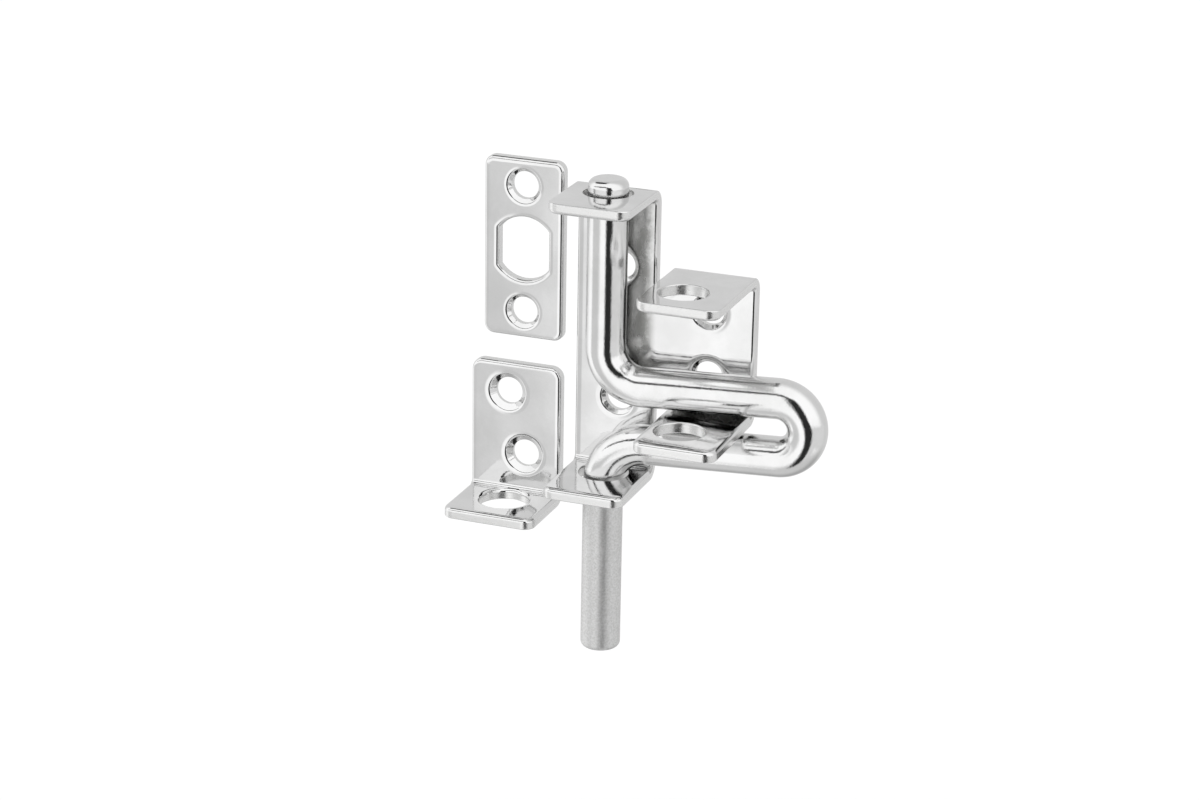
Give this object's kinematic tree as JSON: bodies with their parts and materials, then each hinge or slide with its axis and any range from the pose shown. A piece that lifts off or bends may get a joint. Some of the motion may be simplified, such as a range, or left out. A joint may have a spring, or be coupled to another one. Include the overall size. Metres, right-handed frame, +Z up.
{
  "type": "marine latch",
  "caption": "Stainless surface latch: a bent round bar turns in a folded back plate, with padlock ears, a flat strike and an angle strike.",
  "frame": {"origin": "on the back plate's mounting face, in line with the bar's axis and half way up the plate", "axes": "+Z up along the bar's axis, +Y into the surface it is screwed to, +X towards the padlock ears"},
  "size_m": [0.0951, 0.0322, 0.1225],
  "materials": {
    "polished_sheet": "mirror-polished stainless sheet",
    "polished_bar": "polished stainless round bar, satin towards the bolt's end"
  },
  "bodies": {
    "plate": {"back_plate": "polished_sheet", "strike_plate": "polished_sheet", "angle_strike": "polished_sheet"},
    "bar": {"locking_bar": "polished_bar"}
  },
  "joints": [
    {"name": "handle_swing", "type": "hinge", "parent": "plate", "child": "bar", "pos_m": [0, -0.0093, 0], "axis": [0, 0, 1], "range_deg": [-120, 0]}
  ]
}
